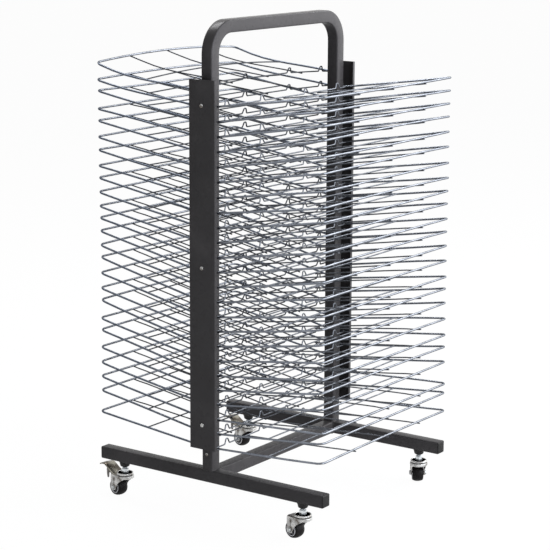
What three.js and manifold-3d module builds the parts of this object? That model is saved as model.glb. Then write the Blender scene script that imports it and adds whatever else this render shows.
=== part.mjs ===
// Art drying rack: a castored frame of square tube with two stacks of hinged wire shelves.
// Millimetres, Z up, floor at z = 0. Left is -X, right is +X, front is -Y, rear is +Y.
import * as THREE from 'three';
import { mergeVertices } from 'three/addons/utils/BufferGeometryUtils.js';
import Module from 'manifold-3d';

const wasm = await Module();
wasm.setup();

// Square steel tube of the whole frame
const tubeSide = 27.5;
const tubeWall = 1.5;

// Base and hoop
const footLength = 594;
const postSpacing = 468.5; // between the centre lines of the two posts, and of the two feet
const rackHeight = 1072; // floor to top of the handle
const hoopBend = 57; // centre-line radius of the two top corners
const handleRise = 119; // top of the covers to top of the handle

// Shelf stacks
const firstShelfRise = 53.25; // top of the feet to the lowest hinge line
const pivotOffset = 6.9; // hinge line from the middle of the post

// Angles at which the shelves lie, in degrees, outer edge above the hinge; one for each shelf, lowest first
const leftTilts = [
  5.8, 9.2, 9.3, 9.4, 9.9, 11.4, 10.4, 12.3, 11.3, 11.7, 12.5, 11.5, 11.4,
  10.8, 9.7, 9.5, 9.4, 8.3, 8.9, 8.2, 8.9, 7.7, 9.2, 7.6, 8.5,
];
const rightTilts = [
  3.3, 5.3, 3.2, 7, 7.6, 6.8, 7.8, 8.8, 8.9, 8, 8.9, 9.4,
  9.4, 8.9, 9.3, 8.7, 8.2, 8.5, 9.3, 9.6, 9.9, 9.3, 8.6, 8,
];

// One wire shelf
const shelfReach = 290; // hinge line to the outer edge wire
const rimWire = 4.5;
const gridWire = 3;
const rimBend = 15; // centre-line radius of the outer corners
const innerWireReach = 17; // hinge line to the inner wire
const middleWireReach = 155;
const crossWireSpacing = 130;
const legClearance = 0.8; // shelf leg to the outer face of the post
const stopWidth = 20;
const stopHeight = 9;
const stopThickness = 2.6;
const stopSpread = 164; // between the two inner stops
const stopClearance = 2.5; // outer stops to the inner face of the post

// Hinge pins, the leg ends bent inwards
const pinReach = 6; // past the tube wall, into the post
const pinClearance = 0.5; // all round the pin as it turns

// Folded covers in front of the leg ends
const coverWidth = 67;
const coverSheet = 1.2;
const coverStandoff = 16.5; // outer face of the post to outer face of the cover
const coverFoot = 2.5; // cover runs on below the lowest hinge line
const coverHead = 26.5; // cover runs on above the highest hinge line
const flangeClearance = 2.7; // edge of the flange to the shelf legs
const spacerDiameter = 8;
const spacerInset = 54; // end of the cover to the end spacers
const spacerCount = 3;
const jointGap = 0.3; // between pieces that only touch
const overrun = 1; // cuts run past the faces they cut, and joined solids into each other

// Castors, from the floor up
const wheelDiameter = 40;
const wheelWidth = 25;
const treadWidth = 16;
const shoulderDepth = 3;
const crownClearance = 3.5;
const crownPlate = 2.5;
const lowerRace = 6.5;
const raceGroove = 1.5;
const upperRace = 4;
const raceDome = 4;
const stemHex = 12;
const bossHeight = 9.75;

// Castors, across
const castorTrail = 24; // wheel axle behind the stem
const stemInset = 56; // end of the foot to the stem
const lowerRaceDiameter = 40;
const grooveDiameter = 31;
const upperRaceDiameter = 38;
const domeDiameter = 24;
const hexDiameter = 17;
const stemDiameter = 9;
const stemClearance = 0.5;
const stemReach = 6; // stem runs on above the lower tube wall
const bossDiameter = 24;
const bossTip = 17;
const cheekPlate = 2;
const cheekGap = 1.5; // wheel to fork cheek
const cheekFoot = 9.5; // radius round the axle
const cheekFront = 8; // front of the cheeks ahead of the stem
const axleDiameter = 8;
const axleClearance = 0.5;
const boltOverhang = 4; // axle bolt outside each cheek

// Brake pedal, arched
const pedalReach = 74; // tip behind the stem
const pedalRidge = 57; // highest place behind the stem
const pedalRoot = 14; // foot of the pedal behind the stem
const pedalRise = 22; // crown to the ridge
const pedalDrop = 8; // ridge to the tip
const pedalPlate = 2;
const pedalWidth = 28;

// How the castors stand, in degrees about the stem
const parkedTurn = -13;
const rearRightTurn = -54;

// Middle of the frame from the origin, which lies under the middle of the whole rack, pedals included
const frameShiftX = 9;
const frameShiftY = -4;

// Facets on round pieces
const wheelFacets = 16;
const raceFacets = 10;
const stemFacets = 6;
const bossFacets = 10;
const spacerFacets = 6;
const axleFacets = 6;
const hoopFacets = 8;
const cheekFacets = 4;
const rimFacets = 2;

// Levels and places that follow from the sizes above
const axleHeight = wheelDiameter / 2;
const crownBottom = wheelDiameter + crownClearance;
const crownTop = crownBottom + crownPlate;
const grooveBottom = crownTop + lowerRace;
const upperRaceBottom = grooveBottom + raceGroove;
const domeBottom = upperRaceBottom + upperRace;
const hexBottom = domeBottom + raceDome;
const bossBottom = hexBottom + stemHex;
const footBottom = bossBottom + bossHeight;
const footTop = footBottom + tubeSide;
const firstPivot = footTop + firstShelfRise;
const coverBottom = firstPivot - coverFoot;
const coverTop = rackHeight - handleRise;
const lastPivot = coverTop - coverHead;
const shelfPitch = (lastPivot - firstPivot) / (Math.max(leftTilts.length, rightTilts.length) - 1);
const tubeBore = tubeSide - 2 * tubeWall;
const postFace = postSpacing / 2 + tubeSide / 2;
const coverFace = postFace + coverStandoff;
const flangeDepth = coverStandoff - legClearance - rimWire - flangeClearance;
const legPlane = postFace + legClearance + rimWire / 2;
const pinHole = rimWire * Math.SQRT2 + 2 * pinClearance;
const pinTip = postFace - tubeWall - pinReach;
const cheekInside = wheelWidth / 2 + cheekGap;
const cheekOutside = cheekInside + cheekPlate;
const stemX = footLength / 2 - stemInset;
const stemY = postSpacing / 2;
const outerStop = postSpacing / 2 - tubeSide / 2 - stopClearance - stopWidth / 2;

const degrees = Math.PI / 180;

// Colours and finishes
const blackPaint = new THREE.MeshStandardMaterial({ color: '#373433', roughness: 0.5, metalness: 0.2 });
const brightWire = new THREE.MeshStandardMaterial({ color: '#8c919c', roughness: 0.35, metalness: 0.9 });
const zincPlate = new THREE.MeshStandardMaterial({ color: '#b1aa9e', roughness: 0.4, metalness: 0.85 });
const blackRubber = new THREE.MeshStandardMaterial({ color: '#1f1e1e', roughness: 0.8, metalness: 0 });

function toSolid(source) {
  const geometry = source.clone();
  geometry.deleteAttribute('normal');
  geometry.deleteAttribute('uv');
  const merged = mergeVertices(geometry, 1e-4);
  const vertProperties = new Float32Array(merged.attributes.position.array);
  const triVerts = new Uint32Array(merged.index.array);
  return new wasm.Manifold(new wasm.Mesh({ numProp: 3, vertProperties, triVerts }));
}

function toGeometry(solid) {
  const mesh = solid.asOriginal().simplify(0.001).getMesh();
  const geometry = new THREE.BufferGeometry();
  geometry.setAttribute('position', new THREE.BufferAttribute(new Float32Array(mesh.vertProperties), 3));
  geometry.setIndex(new THREE.BufferAttribute(new Uint32Array(mesh.triVerts), 1));
  geometry.computeVertexNormals();
  return geometry;
}

function box(sizeX, sizeY, sizeZ, x, y, z) {
  return toSolid(new THREE.BoxGeometry(sizeX, sizeY, sizeZ).translate(x, y, z));
}

// Upright cylinder or cone between two heights
function upright(bottomDiameter, topDiameter, low, high, facets, x, y) {
  const geometry = new THREE.CylinderGeometry(topDiameter / 2, bottomDiameter / 2, high - low, facets);
  geometry.rotateX(Math.PI / 2);
  return toSolid(geometry.translate(x, y, (low + high) / 2));
}

// Flat shape drawn in (along, up), made thick across
function standUp(shape, alongAxis, upAxis, thickness, facets) {
  const across = new THREE.Vector3().crossVectors(alongAxis, upAxis);
  const geometry = new THREE.ExtrudeGeometry(shape, {
    depth: thickness,
    bevelEnabled: false,
    curveSegments: facets / 2, // an arc is drawn with two facets for each
  });
  geometry.translate(0, 0, -thickness / 2);
  return geometry.applyMatrix4(new THREE.Matrix4().makeBasis(alongAxis, upAxis, across));
}

const axisX = new THREE.Vector3(1, 0, 0);
const axisY = new THREE.Vector3(0, 1, 0);
const axisZ = new THREE.Vector3(0, 0, 1);

// Upside-down U of square section, seen along X
function hoopBand(width, low) {
  const half = postSpacing / 2;
  const bendX = half - hoopBend;
  const bendZ = rackHeight - tubeSide / 2 - hoopBend;
  const outer = hoopBend + width / 2;
  const inner = hoopBend - width / 2;
  const shape = new THREE.Shape();
  shape.moveTo(-half - width / 2, low);
  shape.lineTo(-half - width / 2, bendZ);
  shape.absarc(-bendX, bendZ, outer, Math.PI, Math.PI / 2, true);
  shape.absarc(bendX, bendZ, outer, Math.PI / 2, 0, true);
  shape.lineTo(half + width / 2, low);
  shape.lineTo(half - width / 2, low);
  shape.absarc(bendX, bendZ, inner, 0, Math.PI / 2, false);
  shape.absarc(-bendX, bendZ, inner, Math.PI / 2, Math.PI, false);
  shape.lineTo(-half + width / 2, low);
  shape.closePath();
  return toSolid(standUp(shape, axisY, axisZ, width, hoopFacets));
}

// Tubes of the frame as solid bars of one side length
function bars(side, footEnds, beamLength, hoopLow) {
  const middle = footBottom + tubeSide / 2;
  let solid = hoopBand(side, hoopLow);
  for (const end of [-1, 1]) {
    solid = solid.add(box(footLength + 2 * footEnds, side, side, 0, end * postSpacing / 2, middle));
  }
  return solid.add(box(side, beamLength, side, 0, 0, middle));
}

function addBosses(solid) {
  let result = solid;
  for (const x of [-stemX, stemX]) {
    for (const y of [-stemY, stemY]) {
      const top = footBottom + tubeWall / 2;
      const boss = upright(bossTip, bossDiameter, bossBottom, top, bossFacets, x, y);
      result = result.add(boss);
    }
  }
  return result;
}

function cutSockets(solid) {
  const bore = (stemDiameter + 2 * stemClearance) / Math.cos(Math.PI / stemFacets);
  const top = footBottom + tubeWall + overrun;
  let result = solid;
  for (const x of [-stemX, stemX]) {
    for (const y of [-stemY, stemY]) {
      result = result.subtract(upright(bore, bore, bossBottom - overrun, top, stemFacets, x, y));
    }
  }
  return result;
}

function cutPivotHoles(solid, count, side) {
  const depth = tubeWall + 2 * overrun;
  let result = solid;
  for (let level = 0; level < count; level += 1) {
    for (const end of [-1, 1]) {
      const y = end * (postFace - tubeWall / 2);
      const z = firstPivot + level * shelfPitch;
      result = result.subtract(box(pinHole, depth, pinHole, side * pivotOffset, y, z));
    }
  }
  return result;
}

function frameGeometry() {
  const outside = bars(tubeSide, 0, postSpacing - tubeSide + 2 * tubeWall, footTop - tubeWall);
  const inside = bars(tubeBore, overrun, postSpacing, footTop - 2 * tubeWall);
  let solid = cutSockets(addBosses(outside).subtract(inside));
  solid = cutPivotHoles(solid, leftTilts.length, -1);
  solid = cutPivotHoles(solid, rightTilts.length, 1);
  return toGeometry(solid);
}

// Channel section, open towards the post, with spacers that reach back to it
function coverGeometry() {
  const half = coverWidth / 2;
  const edge = coverFace - flangeDepth;
  const shape = new THREE.Shape();
  shape.moveTo(half, edge);
  shape.lineTo(half, coverFace);
  shape.lineTo(-half, coverFace);
  shape.lineTo(-half, edge);
  shape.lineTo(-half + coverSheet, edge);
  shape.lineTo(-half + coverSheet, coverFace - coverSheet);
  shape.lineTo(half - coverSheet, coverFace - coverSheet);
  shape.lineTo(half - coverSheet, edge);
  shape.closePath();
  const channel = new THREE.ExtrudeGeometry(shape, { depth: coverTop - coverBottom, bevelEnabled: false });
  let solid = toSolid(channel.translate(0, 0, coverBottom));
  const low = postFace + jointGap;
  const high = coverFace - coverSheet / 2;
  const step = (coverTop - coverBottom - 2 * spacerInset) / (spacerCount - 1);
  for (let place = 0; place < spacerCount; place += 1) {
    const radius = spacerDiameter / 2;
    const spacer = new THREE.CylinderGeometry(radius, radius, high - low, spacerFacets);
    spacer.translate(0, (low + high) / 2, coverBottom + spacerInset + place * step);
    solid = solid.add(toSolid(spacer));
  }
  return toGeometry(solid);
}

// Flat shape in the plane of a shelf, made thick both ways
function layFlat(shape, thickness) {
  const geometry = new THREE.ExtrudeGeometry(shape, {
    depth: thickness,
    bevelEnabled: false,
    curveSegments: rimFacets / 2,
  });
  return toSolid(geometry.translate(0, 0, -thickness / 2));
}

// Window between wires; the outer corner windows follow the bend of the rim
function gridWindow(nearX, farX, lowY, highY, bendLow, bendHigh) {
  const window = new THREE.Shape();
  const bend = rimBend - rimWire / 2;
  window.moveTo(nearX, lowY);
  if (bendLow) {
    window.lineTo(farX - bend, lowY);
    window.absarc(farX - bend, lowY + bend, bend, -Math.PI / 2, 0, false);
  } else {
    window.lineTo(farX, lowY);
  }
  if (bendHigh) {
    window.absarc(farX - bend, highY - bend, bend, 0, Math.PI / 2, false);
  } else {
    window.lineTo(farX, highY);
  }
  window.lineTo(nearX, highY);
  window.closePath();
  return layFlat(window, rimWire + 2 * overrun);
}

// Flat wire grid with its hinge line on Y and its outer edge towards +X
function shelfGrid() {
  const half = rimWire / 2;
  const inside = legPlane - half;
  const outside = legPlane + half;
  const shape = new THREE.Shape();
  shape.moveTo(-half, -outside);
  shape.lineTo(shelfReach - rimBend, -outside);
  shape.absarc(shelfReach - rimBend, rimBend - legPlane, rimBend + half, -Math.PI / 2, 0, false);
  shape.absarc(shelfReach - rimBend, legPlane - rimBend, rimBend + half, 0, Math.PI / 2, false);
  shape.lineTo(-half, outside);
  shape.lineTo(-half, pinTip);
  shape.lineTo(half, pinTip);
  shape.lineTo(half, inside);
  shape.lineTo(innerWireReach - gridWire / 2, inside);
  shape.lineTo(innerWireReach - gridWire / 2, -inside);
  shape.lineTo(half, -inside);
  shape.lineTo(half, -pinTip);
  shape.lineTo(-half, -pinTip);
  shape.closePath();
  let solid = layFlat(shape, rimWire);
  const wire = gridWire / 2;
  const edges = [-inside, -crossWireSpacing, 0, crossWireSpacing, inside];
  for (let cell = 0; cell < edges.length - 1; cell += 1) {
    const first = cell === 0;
    const last = cell === edges.length - 2;
    const low = first ? edges[cell] : edges[cell] + wire;
    const high = last ? edges[cell + 1] : edges[cell + 1] - wire;
    const near = gridWindow(innerWireReach + wire, middleWireReach - wire, low, high, false, false);
    const far = gridWindow(middleWireReach + wire, shelfReach - half, low, high, first, last);
    solid = solid.subtract(near).subtract(far);
  }
  return solid;
}

// Upward kink of the inner wire that keeps paper from sliding through
function paperStop(y) {
  const shape = new THREE.Shape();
  shape.moveTo(-stopWidth / 2, 0);
  shape.lineTo(stopWidth / 2, 0);
  shape.lineTo(0, rimWire / 2 + stopHeight);
  shape.closePath();
  const stop = standUp(shape, axisY, axisZ, stopThickness, 2);
  return toSolid(stop.translate(innerWireReach, y, 0));
}

function shelfGeometry() {
  let solid = shelfGrid();
  for (const end of [-1, 1]) {
    solid = solid.add(paperStop(end * stopSpread / 2));
    solid = solid.add(paperStop(end * outerStop));
  }
  return toGeometry(solid);
}

// Stacked races, hexagon and stem of one castor, on the stem axis
function castorRaces() {
  const profile = [
    [0, crownBottom],
    [lowerRaceDiameter / 2, crownBottom],
    [lowerRaceDiameter / 2, grooveBottom],
    [grooveDiameter / 2, grooveBottom],
    [grooveDiameter / 2, upperRaceBottom],
    [upperRaceDiameter / 2, upperRaceBottom],
    [upperRaceDiameter / 2, domeBottom],
    [domeDiameter / 2, hexBottom],
    [0, hexBottom],
  ];
  const points = profile.map(([radius, height]) => new THREE.Vector2(radius, height));
  const races = toSolid(new THREE.LatheGeometry(points, raceFacets).rotateX(Math.PI / 2));
  const hexTop = bossBottom - jointGap;
  const stemTop = footBottom + tubeWall + stemReach;
  const hexagon = upright(hexDiameter, hexDiameter, hexBottom - overrun, hexTop, stemFacets, 0, 0);
  const stem = upright(stemDiameter, stemDiameter, hexTop - overrun, stemTop, stemFacets, 0, 0);
  return races.add(hexagon).add(stem);
}

function forkCheek(side) {
  const shape = new THREE.Shape();
  shape.moveTo(cheekFront, crownTop);
  shape.lineTo(-castorTrail - cheekFoot, crownTop);
  shape.absarc(-castorTrail, axleHeight, cheekFoot, -Math.PI, 0, false);
  shape.lineTo(cheekFront, crownBottom);
  shape.closePath();
  const cheek = standUp(shape, axisX, axisZ, cheekPlate, cheekFacets);
  return toSolid(cheek.translate(0, side * (cheekInside + cheekPlate / 2), 0));
}

function brakePedal() {
  const shape = new THREE.Shape();
  const root = crownTop - crownPlate / 2;
  const ridge = crownTop + pedalRise;
  const tip = ridge - pedalDrop;
  shape.moveTo(-pedalRoot, root);
  shape.lineTo(-pedalRoot, crownTop + pedalPlate);
  shape.lineTo(-pedalRidge, ridge + pedalPlate);
  shape.lineTo(-pedalReach, tip + pedalPlate);
  shape.lineTo(-pedalReach, tip);
  shape.lineTo(-pedalRidge, ridge);
  shape.lineTo(-castorTrail - cheekFoot, root);
  shape.closePath();
  return toSolid(standUp(shape, axisX, axisZ, pedalWidth, 2));
}

function forkGeometry(braked) {
  const crownLength = castorTrail + cheekFoot + cheekFront;
  const crownMiddle = cheekFront - crownLength / 2;
  let solid = castorRaces();
  const crownLevel = crownTop - crownPlate / 2;
  solid = solid.add(box(crownLength, 2 * cheekOutside, crownPlate, crownMiddle, 0, crownLevel));
  solid = solid.add(forkCheek(-1)).add(forkCheek(1));
  const boltLength = 2 * (cheekOutside + boltOverhang);
  const axle = new THREE.CylinderGeometry(axleDiameter / 2, axleDiameter / 2, boltLength, axleFacets);
  solid = solid.add(toSolid(axle.translate(-castorTrail, 0, axleHeight)));
  if (braked) {
    solid = solid.add(brakePedal());
  }
  return toGeometry(solid);
}

// Wheel about its own axle, with a flat facet of the tread downwards
function wheelGeometry() {
  const tread = wheelDiameter / 2 / Math.cos(Math.PI / wheelFacets);
  const bore = axleDiameter / 2 + axleClearance;
  const profile = [
    [bore, -wheelWidth / 2],
    [tread - shoulderDepth, -wheelWidth / 2],
    [tread, -treadWidth / 2],
    [tread, treadWidth / 2],
    [tread - shoulderDepth, wheelWidth / 2],
    [bore, wheelWidth / 2],
    [bore, -wheelWidth / 2],
  ];
  const points = profile.map(([radius, along]) => new THREE.Vector2(radius, along));
  const geometry = new THREE.LatheGeometry(points, wheelFacets, Math.PI / wheelFacets);
  geometry.deleteAttribute('normal');
  geometry.deleteAttribute('uv');
  const wheel = mergeVertices(geometry, 1e-4);
  wheel.computeVertexNormals();
  return wheel;
}

const group = new THREE.Group();
const rack = new THREE.Group();
rack.position.set(frameShiftX, frameShiftY, 0);
group.add(rack);

function place(parent, name, geometry, material) {
  const mesh = new THREE.Mesh(geometry, material);
  mesh.name = name;
  parent.add(mesh);
  return mesh;
}

function addShelves(sideName, side, tilts, geometry) {
  tilts.forEach((tilt, level) => {
    const hinge = new THREE.Group();
    hinge.position.set(side * pivotOffset, 0, firstPivot + level * shelfPitch);
    hinge.rotation.z = side > 0 ? 0 : Math.PI;
    rack.add(hinge);
    const number = String(level + 1).padStart(2, '0');
    const shelf = place(hinge, `${sideName}_shelf_${number}`, geometry, brightWire);
    shelf.rotation.y = -tilt * degrees;
  });
}

function addCastor(corner, x, y, turn, braked) {
  const castor = new THREE.Group();
  castor.position.set(x, y, 0);
  castor.rotation.z = turn * degrees;
  rack.add(castor);
  place(castor, `castor_fork_${corner}`, forkGeometry(braked), zincPlate);
  const wheel = place(castor, `castor_wheel_${corner}`, wheelGeometry(), blackRubber);
  wheel.position.set(-castorTrail, 0, axleHeight);
}

place(rack, 'frame', frameGeometry(), blackPaint);
place(rack, 'rear_cover', coverGeometry(), blackPaint);
place(rack, 'front_cover', coverGeometry(), blackPaint).rotation.z = Math.PI;

const shelf = shelfGeometry();
addShelves('left', -1, leftTilts, shelf);
addShelves('right', 1, rightTilts, shelf);

addCastor('front_left', -stemX, -stemY, parkedTurn, true);
addCastor('front_right', stemX, -stemY, parkedTurn, false);
addCastor('rear_left', -stemX, stemY, parkedTurn, true);
addCastor('rear_right', stemX, stemY, rearRightTurn, false);

export default group;
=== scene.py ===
"""Looks of the art drying rack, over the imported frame. Sizes are in millimetres until a mesh is made."""
import math

import bmesh
import bpy
from mathutils import Matrix, Vector


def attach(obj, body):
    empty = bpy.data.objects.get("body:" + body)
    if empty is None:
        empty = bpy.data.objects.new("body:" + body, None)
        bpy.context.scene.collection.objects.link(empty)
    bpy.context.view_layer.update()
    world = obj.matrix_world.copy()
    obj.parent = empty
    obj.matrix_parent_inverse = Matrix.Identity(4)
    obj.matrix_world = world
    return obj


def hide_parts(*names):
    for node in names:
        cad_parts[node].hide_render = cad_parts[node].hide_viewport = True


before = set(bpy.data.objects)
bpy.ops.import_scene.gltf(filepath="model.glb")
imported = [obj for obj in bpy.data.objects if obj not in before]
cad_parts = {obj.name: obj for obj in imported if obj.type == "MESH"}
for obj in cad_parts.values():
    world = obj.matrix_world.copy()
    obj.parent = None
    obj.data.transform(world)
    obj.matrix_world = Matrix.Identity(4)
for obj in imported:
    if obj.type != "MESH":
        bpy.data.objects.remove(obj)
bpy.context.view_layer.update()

MM = 0.001

# Middle of the frame from the origin
FRAME_SHIFT = Vector((9.0, -4.0, 0.0))

# Frame of square tube, with the depth to which the ends of hoop and beam sink into the feet
TUBE = 27.5
TUBE_CORNER = 3.0
FOOT_HALF = 297.0
FOOT_BOTTOM = 83.75
FOOT_MIDDLE = FOOT_BOTTOM + TUBE / 2
FOOT_TOP = FOOT_BOTTOM + TUBE
POST_Y = 234.25
POST_FACE = POST_Y + TUBE / 2
HOOP_TOP = 1072.0
HOOP_BEND = 57.0
HOOP_STEPS = 20
HOOP_SINK = 0.5
BEAM_SINK = 1.0

# End plugs of the feet: (distance out of the tube, inset all round), from the rim to the face
PLUG_STEPS = ((-2.0, 0.2), (0.0, 0.0), (1.2, 0.35), (1.9, 1.2), (2.2, 3.0))
PLUG_PLAY = 0.4
PLUG_LEAST_CORNER = 0.8

# Weld beads, with ripples as (height, radians per point)
WELD_RADIUS = 1.5
WELD_RIPPLES = ((0.25, 2.1), (0.15, 0.9))
WELD_OUTSET = 0.7
WELD_STAND = 0.3
WELD_CORNER_STEPS = 5
WELD_POINTS = 3
WELD_SIDES = 8
POST_WELD = TUBE - 3.0
BEAM_WELD = TUBE - 1.0

# Covers, and their spacers as (radius, distance from the post)
COVER_WIDTH = 67.0
COVER_SHEET = 1.2
COVER_FACE = POST_FACE + 16.5
COVER_FLANGE = 8.5
COVER_LOW = 162.0
COVER_HIGH = 953.0
COVER_FOLD = 2.0
FOLD_STEPS = 5
SPACER = ((3.4, 0.1), (4.0, 0.6), (4.0, 14.4), (3.4, 15.2))

# Pan-head screws: heads as (radius, height); the rim is a share of the height,
# the flat and the arms of the cross recess are shares of the radius
SCREW_HEIGHTS = (216.0, 557.5, 899.0)
POST_SCREW_HEIGHT = 147.0
COVER_SCREW = (4.2, 2.4)
POST_SCREW = (3.6, 2.2)
SCREW_SIDES = 24
SCREW_SINK = 0.3
SCREW_RIM = 0.45
SCREW_FLAT = 0.62
SCREW_DOME_ANGLES = (0.4, 0.8, 1.2, 1.57)
RECESS_ARM = 0.52
RECESS_HALF = 0.13
RECESS_TAPER = 0.7
RECESS_DEPTH = 0.9

# Shelves, which reach a little further than the flat solids
SHELF_PITCH = 31.75
FIRST_PIVOT = FOOT_TOP + 53.25
PIVOT_X = 6.9
SHELF_REACH = 292.5
RIM_WIRE = 4.5
RIM_BEND = 15.0
RIM_BEND_STEPS = 8
RIM_SIDES = 12
LEG_Y = POST_FACE + 0.8 + RIM_WIRE / 2
LEG_STEPS = 8
EDGE_STEPS = 6
# Rim faces beyond this reach take the outer edge's painted highlight tone
EDGE_HIGHLIGHT_START = SHELF_REACH - RIM_BEND * 0.4
# Leg ends turned in towards the posts, which they do not touch
PIN_END = POST_FACE + 0.15
PIN_BEND = 1.4
PIN_BEND_INSIDE = 0.45
# Thinner wires inside the rim, sunk into each other where they are welded
GRID_WIRE = 3.0
GRID_SIDES = 10
GRID_STEPS = 8
WELD_BITE = 0.4
INNER_REACH = 17.0
MIDDLE_REACH = 155.0
CROSS_SPACING = 130.0
CROSS_START = INNER_REACH - GRID_WIRE
CROSS_BEND = SHELF_REACH - 14.0
CROSS_SLOPE = 20.0
CROSS_END = SHELF_REACH + 4.5
# Paper stops: places along the inner wire, and half a kink as (place, height)
STOP_PLACES = (-208.0, -82.0, 82.0, 208.0)
STOP_HEIGHT = 11.0
STOP_HALF = 10.0
STOP_KINK = (
    (-STOP_HALF, 0.0), (-STOP_HALF + 1.6, 0.5), (-STOP_HALF + 2.8, 2.0), (-4.6, STOP_HEIGHT - 3.2),
    (-3.6, STOP_HEIGHT - 1.2), (-2.0, STOP_HEIGHT - 0.2), (0.0, STOP_HEIGHT),
)
# Angles of the shelves, lowest first
LEFT_TILTS = (5.8, 9.2, 9.3, 9.4, 9.9, 11.4, 10.4, 12.3, 11.3, 11.7, 12.5, 11.5, 11.4,
              10.8, 9.7, 9.5, 9.4, 8.3, 8.9, 8.2, 8.9, 7.7, 9.2, 7.6, 8.5)
RIGHT_TILTS = (3.3, 5.3, 3.2, 7.0, 7.6, 6.8, 7.8, 8.8, 8.9, 8.0, 8.9, 9.4,
               9.4, 8.9, 9.3, 8.7, 8.2, 8.5, 9.3, 9.6, 9.9, 9.3, 8.6, 8.0)
# Wires bent out of true by use, as (arch along the rack, dip on the way out); the worst two by name
BENDS = ((0.0, 0.0), (2.0, 1.2), (-1.5, 0.8), (1.2, -1.0))
BEND_STRIDE = 3
WORST_BENDS = {"left_shelf_25": (11.0, 9.0), "left_shelf_24": (5.0, 4.0)}
DIP_SKEW = 1.7

# Castors: places of the stems, angles at which they are parked, trail of the wheels behind the stems,
# and heights above the floor
STEM_X = FOOT_HALF - 56.0
CORNERS = {
    "front_left": {"x": -STEM_X, "y": -POST_Y, "turn": -13.0, "brake": True},
    "front_right": {"x": STEM_X, "y": -POST_Y, "turn": -13.0, "brake": False},
    "rear_left": {"x": -STEM_X, "y": POST_Y, "turn": -13.0, "brake": True},
    "rear_right": {"x": STEM_X, "y": POST_Y, "turn": -54.0, "brake": False},
}
TRAIL = 24.0
AXLE_Z = 20.0
CROWN_TOP = 46.0
FORK_TOP = 51.0
GROOVE_LOW = 52.5
UPPER_RACE_LOW = 54.0
DOME_LOW = 58.0
NUT_HIGH = 67.6
BOSS_LOW = 72.0

# Fork sheet: cheeks rounded below the axle, then rising by a power of the way to the front.
# Faces that look up more steeply than the slope belong to the crown, which takes painted shade
CHEEK_INSIDE = 14.0
CHEEK_SHEET = 2.0
CHEEK_OUTSIDE = CHEEK_INSIDE + CHEEK_SHEET
CHEEK_FOOT = 8.5
CHEEK_DROP = 6.5
CHEEK_BEND = 4.0
CHEEK_STEPS = 5
CHEEK_RISE = 0.6
CHEEK_LEAST = 1.0
CHEEK_FOOT_STEPS = 10
FORK_PLACES = (-9.0, -6.0, -3.0, 1.0, 5.0, 9.0, 12.0)
CROWN_SLOPE = 0.7

# Turned pieces of a castor, as (radius, height)
CASTOR_BOSS = (
    (0.0, BOSS_LOW), (7.4, BOSS_LOW), (9.2, BOSS_LOW + 0.7), (10.5, BOSS_LOW + 2.4),
    (11.7, FOOT_BOTTOM - 4.0), (12.7, FOOT_BOTTOM - 1.6), (12.9, FOOT_BOTTOM - 0.6),
    (12.9, FOOT_BOTTOM + 0.4), (0.0, FOOT_BOTTOM + 0.4),
)
LOWER_RACE = (
    (0.0, CROWN_TOP - 0.4), (18.6, CROWN_TOP - 0.4), (19.7, CROWN_TOP + 0.5), (20.0, CROWN_TOP + 2.0),
    (20.0, GROOVE_LOW - 1.6), (19.6, GROOVE_LOW - 0.4), (18.6, GROOVE_LOW), (15.2, GROOVE_LOW),
    (0.0, GROOVE_LOW),
)
RACE_GROOVE = ((0.0, GROOVE_LOW), (15.5, GROOVE_LOW), (15.5, UPPER_RACE_LOW), (0.0, UPPER_RACE_LOW))
UPPER_RACE = (
    (15.0, UPPER_RACE_LOW), (17.6, UPPER_RACE_LOW), (18.7, UPPER_RACE_LOW + 0.4),
    (19.0, UPPER_RACE_LOW + 1.4), (18.9, DOME_LOW - 1.0), (18.2, DOME_LOW + 0.1),
    (17.4, DOME_LOW + 0.5), (16.6, DOME_LOW + 0.4), (16.2, DOME_LOW - 0.3),
)
RACE_CUP = ((16.4, DOME_LOW - 0.3), (15.6, DOME_LOW - 1.4), (13.4, DOME_LOW - 2.4), (0.0, DOME_LOW - 2.6))

# Stem above the races: a hexagon and a few turns of thread
HEX_SIDES = 6
NUT_LOW = DOME_LOW - 2.8
NUT_RADIUS = 8.2
NUT_BEVEL = 0.8
THREAD_START = (4.2, NUT_HIGH - 0.2)
THREAD_FIRST = NUT_HIGH + 0.2
THREAD_TURNS = 4
THREAD_CREST = 5.6
THREAD_ROOT = 4.9
THREAD_PITCH = 1.0
THREAD_END = BOSS_LOW - 0.3

# Axle bolt, as (radius, distance from the middle of the wheel)
WASHER = (
    (0.0, CHEEK_OUTSIDE - 0.2), (6.0, CHEEK_OUTSIDE - 0.2), (6.0, CHEEK_OUTSIDE + 0.7),
    (5.6, CHEEK_OUTSIDE + 1.0), (0.0, CHEEK_OUTSIDE + 1.0),
)
BOLT_SHANK = ((4.0, -CHEEK_INSIDE - 0.5), (4.0, CHEEK_INSIDE + 0.5))
BOLT_END = (
    (3.0, 12.0), (3.0, CHEEK_OUTSIDE + 3.9), (2.5, CHEEK_OUTSIDE + 4.3), (0.0, CHEEK_OUTSIDE + 4.3),
)
AXLE_HEX_RADIUS = 5.2
AXLE_HEX_LOW = CHEEK_OUTSIDE + 0.9
AXLE_HEAD_HIGH = CHEEK_OUTSIDE + 3.2
AXLE_NUT_HIGH = CHEEK_OUTSIDE + 3.6
AXLE_HEX_BEVEL = 0.6

# Pressed rib up each cheek, as (place along the fork, height over the axle)
RIB = (
    (-3.2, 9.0), (-2.4, 8.0), (2.4, 8.0), (3.2, 9.0),
    (3.8, 24.0), (3.0, 25.0), (-3.0, 25.0), (-3.8, 24.0),
)
RIB_HEIGHT = 1.1
RIB_SINK = 0.2
RIB_BEVEL = 0.5

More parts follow.
